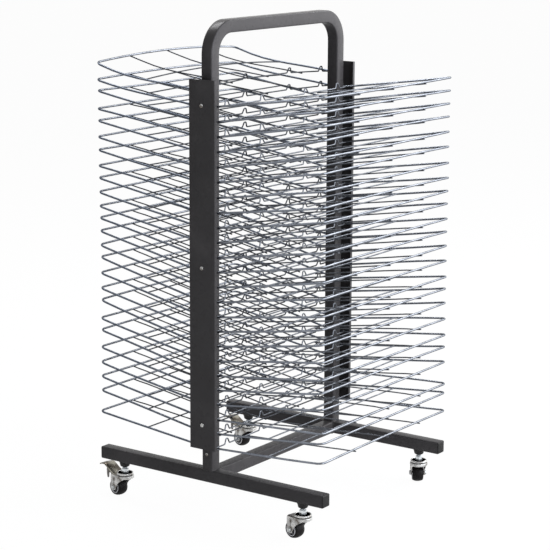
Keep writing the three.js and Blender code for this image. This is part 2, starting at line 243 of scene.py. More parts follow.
# Brake pedal, root to rolled tip: (place along the fork, height, half width, depth of the sides)
PEDAL = (
    (-16.0, 51.2, 10.5, 0.6), (-22.0, 52.0, 14.0, 3.4), (-30.0, 54.6, 14.0, 3.4),
    (-43.0, 61.0, 14.0, 3.4), (-51.5, 65.6, 14.0, 3.4), (-56.0, 67.8, 14.0, 3.4),
    (-60.0, 68.6, 14.0, 3.4), (-65.0, 68.2, 14.0, 3.4), (-70.0, 66.8, 14.0, 3.4),
    (-74.4, 64.9, 13.4, 1.2), (-77.0, 63.3, 13.4, 1.2), (-77.8, 61.9, 12.6, 1.2),
    (-77.0, 60.6, 12.6, 0.6),
)
# Lever below the pedal, one plate each side, as (place along the fork, height)
LEVER = (
    (-27.0, 45.6), (-38.0, 55.4), (-49.0, 61.4), (-54.4, 60.4), (-55.8, 54.0),
    (-55.0, 43.0), (-53.6, 37.0), (-51.2, 35.0), (-48.8, 36.6), (-48.2, 44.0),
    (-47.0, 49.6), (-42.0, 48.8), (-34.0, 44.8),
)
LEVER_SHEET = 1.8
LEVER_BEVEL = 0.3
LEVER_PLACES = (-9.6, 7.8)

# Wheel, as (radius, distance from its middle); tyre and hub are given for one side
WHEEL_RADIUS = 20.0
WHEEL_SIDE = 12.5
TYRE = (
    (14.1, -WHEEL_SIDE + 1.4), (14.4, -WHEEL_SIDE + 0.4), (15.6, -WHEEL_SIDE), (16.8, -WHEEL_SIDE + 0.6),
    (17.9, -WHEEL_SIDE + 2.0), (18.8, -WHEEL_SIDE + 4.2), (19.6, -WHEEL_SIDE + 7.4), (WHEEL_RADIUS, -2.4),
)
TYRE_SIDES = 64
HUB = (
    (4.6, -WHEEL_SIDE + 0.6), (7.0, -WHEEL_SIDE + 0.6), (7.6, -WHEEL_SIDE + 2.0),
    (11.6, -WHEEL_SIDE + 2.0), (12.0, -WHEEL_SIDE + 1.2), (14.2, -WHEEL_SIDE + 1.2),
)
BEARING_RING = (
    (11.7, WHEEL_SIDE - 1.9), (11.8, WHEEL_SIDE - 0.3), (12.2, WHEEL_SIDE),
    (13.6, WHEEL_SIDE), (14.2, WHEEL_SIDE - 0.4), (14.3, WHEEL_SIDE - 1.4),
)

# Stage, in metres: the floor glows by the share and keeps shadows by the rest;
# the surround looks white and sheds less light than it shows
FLOOR_HALF = 40.0
FLOOR_WHITE = (0.86, 0.86, 0.86)
FLOOR_GLOW_SHARE = 0.97
SURROUND_LIGHT = 0.12
SURROUND_WHITE = 1.0

# Camera of the photograph, in metres from the middle of the frame, degrees and pixels
CAMERA_AT = Vector((2.362837, -3.344715, 1.357433))
CAMERA_AZIMUTH = 35.2287
CAMERA_PITCH = 11.8408
CAMERA_ROLL = 0.3098
FOCAL_PIXELS = 1889.5712
PHOTO_WIDTH = 550
SENSOR_WIDTH = 36
CAMERA_CLIP_END = 50

# Small limits: merged points, least radius at an axis, vanishing lengths and the sharpest mitre
MERGE_DISTANCE = 1e-5
AXIS_RADIUS = 1e-4
TINY = 1e-6
LEAST_COSINE = 0.3
# Share of a bevel at its rounder step, and the range that most of a noise lies in
BEVEL_STEP = 0.3
NOISE_LOW = 0.3
NOISE_HIGH = 0.7


# Materials

def node_material(name, base, metallic, roughness):
    """A Principled material with its plain numbers set, with its node tree and its shader."""
    material = bpy.data.materials.new(name)
    material.use_nodes = True
    tree = material.node_tree
    shader = tree.nodes["Principled BSDF"]
    shader.inputs["Base Color"].default_value = (*base, 1)
    shader.inputs["Metallic"].default_value = metallic
    shader.inputs["Roughness"].default_value = roughness
    return material, tree, shader


def noise(tree, scale, detail, stretch=(1, 1, 1)):
    """Noise over the object's own coordinates, in metres, drawn out along an axis where asked."""
    coords = tree.nodes.new("ShaderNodeTexCoord")
    mapping = tree.nodes.new("ShaderNodeMapping")
    mapping.inputs["Scale"].default_value = stretch
    texture = tree.nodes.new("ShaderNodeTexNoise")
    texture.inputs["Scale"].default_value = scale
    texture.inputs["Detail"].default_value = detail
    tree.links.new(coords.outputs["Object"], mapping.inputs["Vector"])
    tree.links.new(mapping.outputs["Vector"], texture.inputs["Vector"])
    return texture.outputs["Fac"]


def colour_by(tree, shader, fac, stops):
    """Colours the shader by a ramp through (place, colour) stops."""
    node = tree.nodes.new("ShaderNodeValToRGB")
    elements = node.color_ramp.elements
    while len(elements) < len(stops):
        elements.new(0.5)
    for element, (place, colour) in zip(elements, stops):
        element.position = place
        element.color = (*colour, 1)
    tree.links.new(fac, node.inputs["Fac"])
    tree.links.new(node.outputs["Color"], shader.inputs["Base Color"])


def roughen(tree, shader, fac, low, high):
    """Spreads the shader's roughness from low to high over the middle of a noise's range."""
    node = tree.nodes.new("ShaderNodeMapRange")
    node.inputs["From Min"].default_value = NOISE_LOW
    node.inputs["From Max"].default_value = NOISE_HIGH
    node.inputs["To Min"].default_value = low
    node.inputs["To Max"].default_value = high
    tree.links.new(fac, node.inputs["Value"])
    tree.links.new(node.outputs["Result"], shader.inputs["Roughness"])


def bump(tree, shader, fac, strength, distance):
    """Gives the shader a fine relief, its depth in metres."""
    node = tree.nodes.new("ShaderNodeBump")
    node.inputs["Strength"].default_value = strength
    node.inputs["Distance"].default_value = distance
    tree.links.new(fac, node.inputs["Height"])
    tree.links.new(node.outputs["Normal"], shader.inputs["Normal"])


def shade(colour, factor):
    """A colour made darker or lighter."""
    return tuple(min(1.0, channel * factor) for channel in colour)


def powder_coat():
    """Satin charcoal powder coat: orange-peel skin, faint cloudy tone and a few paler rubs."""
    base = (0.05, 0.047, 0.0475)
    material, tree, shader = node_material("powder_coat", base, metallic=0.0, roughness=0.3)
    shader.inputs["Specular IOR Level"].default_value = 0.07
    shader.inputs["Specular Tint"].default_value = (0.92, 0.92, 1.0, 1)
    clouds = noise(tree, scale=14, detail=4)
    colour_by(tree, shader, clouds, [(0.25, shade(base, 0.85)), (0.6, base), (0.85, shade(base, 1.4))])
    roughen(tree, shader, noise(tree, scale=60, detail=3), low=0.24, high=0.36)
    bump(tree, shader, noise(tree, scale=650, detail=2), strength=0.12, distance=0.0006)
    return material


def plated_wire(name, base):
    """Plated wire: cool grey metal, slightly mottled, with a fine grain."""
    material, tree, shader = node_material(name, base, metallic=1.0, roughness=0.3)
    shader.inputs["Specular Tint"].default_value = (0.5, 0.52, 0.56, 1)
    mottle = noise(tree, scale=30, detail=2)
    colour_by(tree, shader, mottle, [(0.3, shade(base, 0.8)), (0.55, base), (0.75, shade(base, 1.25))])
    roughen(tree, shader, noise(tree, scale=90, detail=2), low=0.25, high=0.36)
    bump(tree, shader, noise(tree, scale=900, detail=2), strength=0.06, distance=0.0003)
    return material


def zinc(name, base):
    """Plated pressed steel: silver, clouded softly from brown to bright, partly plating tone and partly
    painted reflection, with fine scratches.
    """
    material, tree, shader = node_material(name, base, metallic=0.65, roughness=0.22)
    red, green, blue = base
    brown_tone_and_dark = (red * 0.42, green * 0.37, blue * 0.33)
    # The clouds are random plating tone and also paint in the bright and dark of reflections
    tone_and_reflection_clouds = noise(tree, scale=55, detail=1)
    colour_by(tree, shader, tone_and_reflection_clouds, [(0.4, brown_tone_and_dark), (0.5, base), (0.6, shade(base, 1.55))])
    roughen(tree, shader, noise(tree, scale=120, detail=2), low=0.18, high=0.3)
    scratches = noise(tree, scale=500, detail=3, stretch=(1, 1, 6))
    bump(tree, shader, scratches, strength=0.12, distance=0.0003)
    return material


def polished():
    """Polished washers and nuts: bright, with a fine grain."""
    base = (0.42, 0.43, 0.43)
    material, tree, shader = node_material("polished_steel", base, metallic=1.0, roughness=0.16)
    grain = noise(tree, scale=260, detail=3)
    colour_by(tree, shader, grain, [(0.35, shade(base, 0.6)), (0.6, base), (0.8, shade(base, 1.2))])
    roughen(tree, shader, noise(tree, scale=400, detail=3), low=0.1, high=0.24)
    bump(tree, shader, noise(tree, scale=1500, detail=2), strength=0.1, distance=0.0002)
    return material


def rubber():
    """Matt black tyre with a fine skin and a little dust."""
    base = (0.0045, 0.0038, 0.0038)
    dusty = (0.02, 0.017, 0.017)
    material, tree, shader = node_material("tyre_rubber", base, metallic=0.0, roughness=0.5)
    shader.inputs["Specular IOR Level"].default_value = 0.1
    dust = noise(tree, scale=120, detail=4)
    colour_by(tree, shader, dust, [(0.35, base), (0.62, shade(base, 1.6)), (0.85, dusty)])
    roughen(tree, shader, noise(tree, scale=300, detail=2), low=0.42, high=0.6)
    bump(tree, shader, noise(tree, scale=1400, detail=2), strength=0.25, distance=0.0004)
    return material


def plastic(name, base, roughness):
    """Moulded plastic with a fine sparked texture."""
    material, tree, shader = node_material(name, base, metallic=0.0, roughness=roughness)
    shader.inputs["Specular IOR Level"].default_value = 0.2
    tone = noise(tree, scale=50, detail=3)
    colour_by(tree, shader, tone, [(0.3, shade(base, 0.85)), (0.7, shade(base, 1.15))])
    roughen(tree, shader, noise(tree, scale=200, detail=3), low=roughness - 0.06, high=roughness + 0.08)
    bump(tree, shader, noise(tree, scale=1800, detail=2), strength=0.18, distance=0.0003)
    return material


PAINT = powder_coat()
# One plated steel in shaded and lit copies: the rim; the grid, darker by painted shade; the outer edge,
# toned apart by a painted highlight. The left shelves carry painted shade and the right ones painted
# light, so those on the right are brighter
WIRE_STEELS_SHADED_AND_LIT = {
    "left": (
        plated_wire("rim_wire_left_painted_shade", (0.085, 0.096, 0.118)),
        plated_wire("grid_wire_left_painted_shade", (0.044, 0.046, 0.051)),
        plated_wire("edge_wire_left_painted_highlight", (0.14, 0.15, 0.17)),
    ),
    "right": (
        plated_wire("rim_wire_right_painted_light", (0.185, 0.2, 0.23)),
        plated_wire("grid_wire_right_painted_light_and_shade", (0.118, 0.125, 0.14)),
        plated_wire("edge_wire_right_painted_highlight", (0.165, 0.175, 0.195)),
    ),
}
RIM, GRID, EDGE_HIGHLIGHT = range(3)
ZINC = zinc("zinc_plate", (0.36, 0.355, 0.345))
DULL_ZINC = zinc("dull_zinc", (0.2, 0.187, 0.155))
# Zinc lightened by painted light, for the cup and stem nut that sit in shade under the foot
LIT_ZINC = zinc("painted_light_zinc", (0.5, 0.52, 0.53))
# Zinc darkened by painted shade, for the crown under the foot and the lever under the pedal
SHADED_ZINC = zinc("painted_shade_zinc", (0.13, 0.122, 0.113))
POLISHED = polished()
RUBBER = rubber()
BLACK_PLASTIC = plastic("black_plastic", (0.018, 0.017, 0.017), roughness=0.5)
PLUG_PLASTIC = plastic("plug_plastic", (0.005, 0.0048, 0.0048), roughness=0.5)
GREY_PLASTIC = plastic("grey_plastic", (0.06, 0.05, 0.052), roughness=0.45)
PALE_PLASTIC = plastic("pale_plastic", (0.6, 0.59, 0.61), roughness=0.4)


# Mesh tools

def make_mesh(name, bm, materials, smooth):
    """Turns a bmesh in millimetres into a mesh; edges of more than smooth degrees stay sharp."""
    bmesh.ops.recalc_face_normals(bm, faces=bm.faces)
    bmesh.ops.scale(bm, vec=(MM, MM, MM), verts=bm.verts)
    mesh = bpy.data.meshes.new(name)
    bm.to_mesh(mesh)
    bm.free()
    for material in materials:
        mesh.materials.append(material)
    mesh.shade_smooth()
    mesh.set_sharp_from_angle(angle=math.radians(smooth))
    return mesh


def place_piece(name, mesh, body, place=None, replaces=()):
    """Links a mesh as a piece that rides on a body, at a place in millimetres from the frame's middle."""
    piece = bpy.data.objects.new(name, mesh)
    bpy.context.scene.collection.objects.link(piece)
    matrix = place.copy() if place else Matrix()
    matrix.translation = (matrix.translation + FRAME_SHIFT) * MM
    piece.matrix_world = matrix
    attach(piece, body)
    if replaces:
        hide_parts(*replaces)
    return piece


def finish_piece(name, bm, material, body, place=None, smooth=40.0, replaces=()):
    """Turns a bmesh in millimetres into a named piece of one material."""
    bmesh.ops.remove_doubles(bm, verts=bm.verts, dist=MERGE_DISTANCE)
    mesh = make_mesh(name, bm, [material], smooth)
    return place_piece(name, mesh, body, place, replaces)


def skin(bm, rings, closed_ring=True, cap=True):
    """Faces between rings of points; the end rings are capped where the rings are closed."""
    made = [[bm.verts.new(point) for point in ring] for ring in rings]
    count = len(made[0])
    spans = count if closed_ring else count - 1
    for near, far in zip(made, made[1:]):
        for i in range(spans):
            j = (i + 1) % count
            bm.faces.new((near[i], near[j], far[j], far[i]))
    if cap and closed_ring:
        bm.faces.new(list(reversed(made[0])))
        bm.faces.new(made[-1])
    return made


def sweep(bm, path, profile, up):
    """Carries a flat profile along a path, mitred at its bends; up keeps the profile from twisting."""
    points = [Vector(p) for p in path]
    rings = []
    for i, point in enumerate(points):
        before = (point - points[i - 1]).normalized() if i else None
        after = (points[i + 1] - point).normalized() if i < len(points) - 1 else None
        along = ((before or after) + (after or before)).normalized()
        side = Vector(up).cross(along).normalized()
        other = along.cross(side)
        half_turn = before.angle(after) / 2 if before and after else 0.0
        stretch = 1 / max(LEAST_COSINE, math.cos(half_turn))
        bend = (after - before) if before and after else Vector((0, 0, 0))
        bend = bend.normalized() if bend.length > TINY else bend
        ring = []
        for a, b in profile:
            offset = side * a + other * b
            offset += bend * offset.dot(bend) * (stretch - 1)
            ring.append(point + offset)
        rings.append(ring)
    return skin(bm, rings)


def circle(radius, sides):
    """Points of a circle about the origin."""
    turns = [2 * math.pi * i / sides for i in range(sides)]
    return [(radius * math.cos(turn), radius * math.sin(turn)) for turn in turns]


def rounded_square(side, corner, steps=4):
    """Outline of a square with rounded corners."""
    reach = side / 2 - corner
    points = []
    for quarter, (sx, sy) in enumerate(((1, 1), (-1, 1), (-1, -1), (1, -1))):
        for step in range(steps + 1):
            angle = math.pi / 2 * (quarter + step / steps)
            points.append((sx * reach + corner * math.cos(angle), sy * reach + corner * math.sin(angle)))
    return points


def arc(centre, radius, start, end, steps):
    """Points of an arc in a plane, angles in degrees."""
    points = []
    for i in range(steps + 1):
        angle = math.radians(start + (end - start) * i / steps)
        points.append((centre[0] + radius * math.cos(angle), centre[1] + radius * math.sin(angle)))
    return points


def mirrored(half):
    """A symmetric outline from its first half, whose last point lies off the middle."""
    return list(half) + [(-a, b) for a, b in reversed(half)]


def mirrored_about(half):
    """A symmetric outline from its first half, whose last point lies on the middle."""
    return list(half) + [(-a, b) for a, b in reversed(half[:-1])]


def both_sides(half):
    """Outline of a turned piece from its first half, carried on to the other side."""
    return list(half) + [(radius, -height) for radius, height in reversed(half)]


def turned_rings(profile, sides):
    """Rings of points for (radius, height) points about Z."""
    return [[Vector((x, y, height)) for x, y in circle(radius, sides)] for radius, height in profile]


def lathe(bm, profile, sides=48, matrix=None):
    """Turns (radius, height) points about Z and caps both ends."""
    points = [(max(radius, AXIS_RADIUS), height) for radius, height in profile]
    made = skin(bm, turned_rings(points, sides))
    if matrix is not None:
        bmesh.ops.transform(bm, matrix=matrix, verts=[v for ring in made for v in ring])


def prism(bm, outline, low, high, bevel, matrix=None):
    """Flat outline made thick, with its rims rounded off by a small bevel."""
    centre = Vector((sum(p[0] for p in outline), sum(p[1] for p in outline))) / len(outline)
    soft = bevel * BEVEL_STEP
    steps = (
        (low, bevel), (low + soft, soft), (low + bevel, 0),
        (high - bevel, 0), (high - soft, soft), (high, bevel),
    )
    rings = []
    for height, inset in steps:
        ring = []
        for x, y in outline:
            out = Vector((x, y)) - centre
            shrunk = centre + out * (1 - inset / max(out.length, TINY))
            ring.append(Vector((shrunk.x, shrunk.y, height)))
        rings.append(ring)
    made = skin(bm, rings)
    if matrix is not None:
        bmesh.ops.transform(bm, matrix=matrix, verts=[v for ring in made for v in ring])


def turned_piece(name, profile, material, body, place, sides=48, replaces=()):
    """A piece turned about its own Z axis."""
    bm = bmesh.new()
    lathe(bm, profile, sides)
    finish_piece(name, bm, material, body, place, replaces=replaces)


# Frame

def build_hoop():
    """Bent tube whose legs are the posts and whose top is the handle."""
    bend_y = POST_Y - HOOP_BEND
    bend_z = HOOP_TOP - TUBE / 2 - HOOP_BEND
    path = [(-POST_Y, FOOT_TOP - HOOP_SINK)]
    path += arc((-bend_y, bend_z), HOOP_BEND, 180, 90, HOOP_STEPS)
    path += arc((bend_y, bend_z), HOOP_BEND, 90, 0, HOOP_STEPS)
    path += [(POST_Y, FOOT_TOP - HOOP_SINK)]
    bm = bmesh.new()
    sweep(bm, [(0, y, z) for y, z in path], rounded_square(TUBE, TUBE_CORNER), up=(1, 0, 0))
    finish_piece("hoop", bm, PAINT, "base", replaces=["frame"])


def end_plug(name, y, end):
    """Domed plug in one end of a foot."""
    rings = []
    for out, inset in PLUG_STEPS:
        ring = rounded_square(TUBE - PLUG_PLAY - 2 * inset, max(PLUG_LEAST_CORNER, TUBE_CORNER - inset))
        rings.append([Vector((end * (FOOT_HALF + out), y + a, FOOT_MIDDLE + b)) for a, b in ring])
    bm = bmesh.new()
    skin(bm, rings)
    finish_piece(name, bm, PLUG_PLASTIC, "base")


def build_base():
    """Two feet with their plugs, and the beam between them."""
    profile = rounded_square(TUBE, TUBE_CORNER)
    for name, y in (("front_foot", -POST_Y), ("rear_foot", POST_Y)):
        bm = bmesh.new()
        sweep(bm, [(-FOOT_HALF, y, FOOT_MIDDLE), (FOOT_HALF, y, FOOT_MIDDLE)], profile, up=(0, 0, 1))
        finish_piece(name, bm, PAINT, "base", replaces=["frame"])
        end_plug(f"{name}_plug_left", y, -1)
        end_plug(f"{name}_plug_right", y, 1)
    bm = bmesh.new()
    inner = POST_Y - TUBE / 2 + BEAM_SINK
    sweep(bm, [(0, -inner, FOOT_MIDDLE), (0, inner, FOOT_MIDDLE)], profile, up=(0, 0, 1))
    finish_piece("centre_beam", bm, PAINT, "base", replaces=["frame"])


def weld_ring(name, centre, across, upward, size):
    """A painted-over weld bead round the end of a tube."""
    centre, across, upward = Vector(centre), Vector(across), Vector(upward)
    along = across.cross(upward)
    outline = rounded_square(size + 2 * WELD_OUTSET, TUBE_CORNER + WELD_OUTSET, WELD_CORNER_STEPS)
    rings = []
    for i in range(len(outline) * WELD_POINTS):
        corner, step = divmod(i, WELD_POINTS)
        a = outline[corner]
        b = outline[(corner + 1) % len(outline)]
        t = step / WELD_POINTS
        point = centre + across * (a[0] + (b[0] - a[0]) * t) + upward * (a[1] + (b[1] - a[1]) * t)
        out = (point - centre).normalized()
        radius = WELD_RADIUS + sum(height * math.sin(rate * i) for height, rate in WELD_RIPPLES)
        rings.append([point + out * x + along * y for x, y in circle(radius, WELD_SIDES)])
    bm = bmesh.new()
    skin(bm, rings + [rings[0]], cap=False)
    finish_piece(name, bm, PAINT, "base")


def build_welds():
    """Beads where posts and beam meet the feet."""
    for name, sign in (("front", -1), ("rear", 1)):
        post_foot = (0, sign * POST_Y, FOOT_TOP + WELD_STAND)
        weld_ring(f"{name}_post_weld", post_foot, (1, 0, 0), (0, 1, 0), POST_WELD)
        beam_end = (0, sign * (POST_Y - TUBE / 2 - WELD_STAND), FOOT_MIDDLE)
        weld_ring(f"{name}_beam_weld", beam_end, (1, 0, 0), (0, 0, 1), BEAM_WELD)


def ring_edges(bm, ring):
    """Edges round a closed ring of vertices."""
    return [bm.edges.get((vert, ring[(i + 1) % len(ring)])) for i, vert in enumerate(ring)]


def pan_screw(name, at, out, head):
    """Pan-head screw with a cross recess, its axis along out."""
    radius, height = head
    rim = height * SCREW_RIM
    dome = height - rim
    profile = [(radius, -SCREW_SINK), (radius, rim)]
    profile += [(radius - dome + dome * math.cos(t), rim + dome * math.sin(t)) for t in SCREW_DOME_ANGLES]
    profile += [(radius * SCREW_FLAT, height)]
    bm = bmesh.new()
    made = skin(bm, turned_rings(profile, SCREW_SIDES), cap=False)
    arm, half = radius * RECESS_ARM, radius * RECESS_HALF
    cross = []
    for quarter in range(4):
        c, s = math.cos(quarter * math.pi / 2), math.sin(quarter * math.pi / 2)
        for x, y in ((arm, -half), (arm, half), (half, half)):
            cross.append((x * c - y * s, x * s + y * c))
    top = [(x, y, height) for x, y in cross]
    floor = [(x * RECESS_TAPER, y * RECESS_TAPER, height - RECESS_DEPTH) for x, y in cross]
    recess = skin(bm, [top, floor], cap=False)
    bm.faces.new(recess[-1])
    edges = ring_edges(bm, made[-1]) + ring_edges(bm, recess[0])
    bmesh.ops.triangle_fill(bm, edges=edges, use_beauty=True)
    turn = Vector((0, 0, 1)).rotation_difference(Vector(out)).to_matrix().to_4x4()
    bmesh.ops.transform(bm, matrix=Matrix.Translation(at) @ turn, verts=bm.verts)
    finish_piece(name, bm, ZINC, "base", smooth=35)


def build_cover(name, sign):
    """Folded channel with rounded folds, spacers behind it and screws through it."""
    half = COVER_WIDTH / 2
    edge = COVER_FACE - COVER_FLANGE
    centre = (half - COVER_FOLD, COVER_FACE - COVER_FOLD)
    outer = mirrored([(half, edge)] + arc(centre, COVER_FOLD, 0, 90, FOLD_STEPS))
    inside = COVER_FOLD - COVER_SHEET
    inner = mirrored([(half - COVER_SHEET, edge)] + arc(centre, inside, 0, 90, FOLD_STEPS))
    section = outer + list(reversed(inner))
    bm = bmesh.new()
    skin(bm, [[Vector((x, sign * y, z)) for x, y in section] for z in (COVER_LOW, COVER_HIGH)])
    channel = f"{name}_cover_channel"
    finish_piece(channel, bm, PAINT, "base", replaces=[f"{name}_cover"])
    outward = (0, sign, 0)
    for number, z in enumerate(SCREW_HEIGHTS, 1):
        bm = bmesh.new()
        turn = Matrix.Rotation(-sign * math.pi / 2, 4, "X")
        lathe(bm, SPACER, sides=24, matrix=Matrix.Translation((0, sign * POST_FACE, z)) @ turn)
        finish_piece(f"{name}_spacer_{number}", bm, ZINC, "base")
        pan_screw(f"{name}_cover_screw_{number}", (0, sign * COVER_FACE, z), outward, COVER_SCREW)
    pan_screw(f"{name}_post_screw", (0, sign * POST_FACE, POST_SCREW_HEIGHT), outward, POST_SCREW)


# Shelves

def rim_path():
    """Rim wire: hinge pin, leg, outer edge, and back by the other leg."""
    corner = SHELF_REACH - RIM_BEND
    corner_y = LEG_Y - RIM_BEND
    half = [(0.0, PIN_END), (0.0, LEG_Y - PIN_BEND)]
    half += [(PIN_BEND_INSIDE, LEG_Y - PIN_BEND_INSIDE), (PIN_BEND, LEG_Y)]
    half += [(corner * k / LEG_STEPS, LEG_Y) for k in range(1, LEG_STEPS)]
    half += arc((corner, corner_y), RIM_BEND, 90, 0, RIM_BEND_STEPS)
    edge = [(SHELF_REACH, corner_y * k / EDGE_STEPS, 0) for k in range(1 - EDGE_STEPS, EDGE_STEPS)]
    return [(x, -y, 0) for x, y in half] + edge + [(x, y, 0) for x, y in reversed(half)]


def stop_path():
    """Inner wire with its upward kinks."""
    path = [(INNER_REACH, -LEG_Y, 0)]
    for place in STOP_PLACES:
        path += [(INNER_REACH, place + y, z) for y, z in mirrored_about(STOP_KINK)]
    return path + [(INNER_REACH, LEG_Y, 0)]


def middle_path():
    """Straight wire along the middle of a shelf."""
    return [(MIDDLE_REACH, LEG_Y * k / GRID_STEPS, 0) for k in range(-GRID_STEPS, GRID_STEPS + 1)]


def cross_path(y):
    """Cross wire under the others, bent down near its end to pass below the rim."""
    slope = CROSS_BEND - CROSS_SLOPE
    run = [CROSS_START + (slope - CROSS_START) * k / GRID_STEPS for k in range(GRID_STEPS + 1)]
    low = -RIM_WIRE / 2 - GRID_WIRE / 2 + WELD_BITE
    return [(x, y, WELD_BITE - GRID_WIRE) for x in run] + [(CROSS_BEND, y, low), (CROSS_END, y, low)]


def shelf_mesh(name, side, arch, dip):
    """Round wires of one shelf, hinge line on Y, outer edge towards +X, bent by arch and dip."""
    bm = bmesh.new()
    sweep(bm, rim_path(), circle(RIM_WIRE / 2, RIM_SIDES), up=(0, 0, 1))
    rim_faces = len(bm.faces)
    grid = circle(GRID_WIRE / 2, GRID_SIDES)
    sweep(bm, stop_path(), grid, up=(1, 0, 0))
    sweep(bm, middle_path(), grid, up=(1, 0, 0))
    for y in (-CROSS_SPACING, 0.0, CROSS_SPACING):
        sweep(bm, cross_path(y), grid, up=(0, 1, 0))
    bm.faces.ensure_lookup_table()
    # Outer-edge faces of the rim take the painted highlight tone, the others the rim tone
    for face in bm.faces[:rim_faces]:
        face.material_index = EDGE_HIGHLIGHT if face.calc_center_median().x > EDGE_HIGHLIGHT_START else RIM
    # Grid faces take the grid tone, darkened by painted shade
    for face in bm.faces[rim_faces:]:
        face.material_index = GRID
    for vert in bm.verts:
        out = min(1.0, max(0.0, vert.co.x / SHELF_REACH))
        along = min(1.0, abs(vert.co.y) / LEG_Y)
        vert.co.z += arch * (1 - along ** 2) - dip * math.sin(math.pi * out ** DIP_SKEW)
    # Left shelves take the set with painted shade, right ones the set with painted light
    return make_mesh(name, bm, WIRE_STEELS_SHADED_AND_LIT[side], smooth=50)


def build_shelves():
    """Shelves of a side share a few meshes, taken in turn; the worst bent have their own."""
    for side, sign, tilts in (("left", -1, LEFT_TILTS), ("right", 1, RIGHT_TILTS)):
        usual = [shelf_mesh(f"{side}_wires_{i}", side, *bend) for i, bend in enumerate(BENDS)]
        first = 1 if sign > 0 else 0
        for level, tilt in enumerate(tilts):
            node = f"{side}_shelf_{level + 1:02d}"
            place = Matrix.Translation((sign * PIVOT_X, 0, FIRST_PIVOT + level * SHELF_PITCH))
            if sign < 0:
                place = place @ Matrix.Rotation(math.pi, 4, "Z")
            place = place @ Matrix.Rotation(-math.radians(tilt), 4, "Y")
            mesh = usual[(first + BEND_STRIDE * level) % len(usual)]
            if node in WORST_BENDS:
                mesh = shelf_mesh(f"bent_{node}", side, *WORST_BENDS[node])
            place_piece(f"{node}_wires", mesh, node, place, [node])


# Castors

def cheek_edge(x, top):
    """Height of a cheek's lower edge: half an ellipse below the axle, then a sweep up to the front."""
    front = -TRAIL + CHEEK_FOOT
    if x <= front:
        return AXLE_Z - CHEEK_DROP * math.sqrt(max(0.0, 1 - ((x + TRAIL) / CHEEK_FOOT) ** 2))
    share = (x - front) / (FORK_PLACES[-1] - front)
    return AXLE_Z + share ** CHEEK_RISE * (top - CHEEK_BEND - AXLE_Z - CHEEK_LEAST)


def fork_sheet():
    """Pressed fork: a U-shaped sheet over the wheel whose cheeks taper to the axle."""
    side = CHEEK_INSIDE + CHEEK_SHEET / 2
    top = FORK_TOP - CHEEK_SHEET / 2
    fold = arc((side - CHEEK_BEND, top - CHEEK_BEND), CHEEK_BEND, 0, 90, CHEEK_STEPS)[1:]
    turns = [t * math.pi / CHEEK_FOOT_STEPS for t in range(CHEEK_FOOT_STEPS + 1)]
    places = [-TRAIL - CHEEK_FOOT * math.cos(turn) for turn in turns]
    columns = []
    for x in places + list(FORK_PLACES):
        low = cheek_edge(x, top)
        rise = top - CHEEK_BEND - low
        cheek = [(side, low + rise * k / CHEEK_STEPS) for k in range(CHEEK_STEPS + 1)]
        columns.append([Vector((x, y, z)) for y, z in mirrored(cheek + fold)])
    bm = bmesh.new()
    skin(bm, columns, closed_ring=False)
    # Faces looking up belong to the crown and take the second slot, painted shade
    for face in bm.faces:
        face.normal_update()
        face.material_index = 1 if abs(face.normal.z) > CROWN_SLOPE else 0
    return bm


def build_fork(corner, brake, place):
    """Fork with its crown darkened by painted shade, races, stem, axle and, where it has one, the brake.
    """
    body = f"fork_{corner}"
    node = f"castor_fork_{corner}"
    sheet = f"fork_sheet_{corner}"
    fork = finish_piece(sheet, fork_sheet(), ZINC, body, place, replaces=[node])
    fork.data.materials.append(SHADED_ZINC)
    thick = fork.modifiers.new("sheet", "SOLIDIFY")
    thick.thickness = CHEEK_SHEET * MM
    thick.offset = 0
    turned_piece(f"lower_race_{corner}", LOWER_RACE, ZINC, body, place)
    turned_piece(f"race_groove_{corner}", RACE_GROOVE, BLACK_PLASTIC, body, place)
    turned_piece(f"upper_race_{corner}", UPPER_RACE, ZINC, body, place)
    # The cup is lightened by painted light
    turned_piece(f"race_cup_{corner}", RACE_CUP, LIT_ZINC, body, place)
    build_stem(corner, body, place)
    build_axle(corner, body, place)
    if brake:
        build_pedal(corner, body, place)


def build_stem(corner, body, place):
    """Hexagon and thread between the races and the boss."""
    bm = bmesh.new()
    prism(bm, circle(NUT_RADIUS, HEX_SIDES), NUT_LOW, NUT_HIGH, NUT_BEVEL)
    thread = [THREAD_START]
    for turn in range(THREAD_TURNS):
        z = THREAD_FIRST + turn * THREAD_PITCH
        thread += [(THREAD_CREST, z), (THREAD_ROOT, z + THREAD_PITCH / 2)]
    lathe(bm, thread + [(THREAD_ROOT, THREAD_END)], sides=24)
    finish_piece(f"stem_nut_{corner}", bm, LIT_ZINC, body, place, smooth=30)


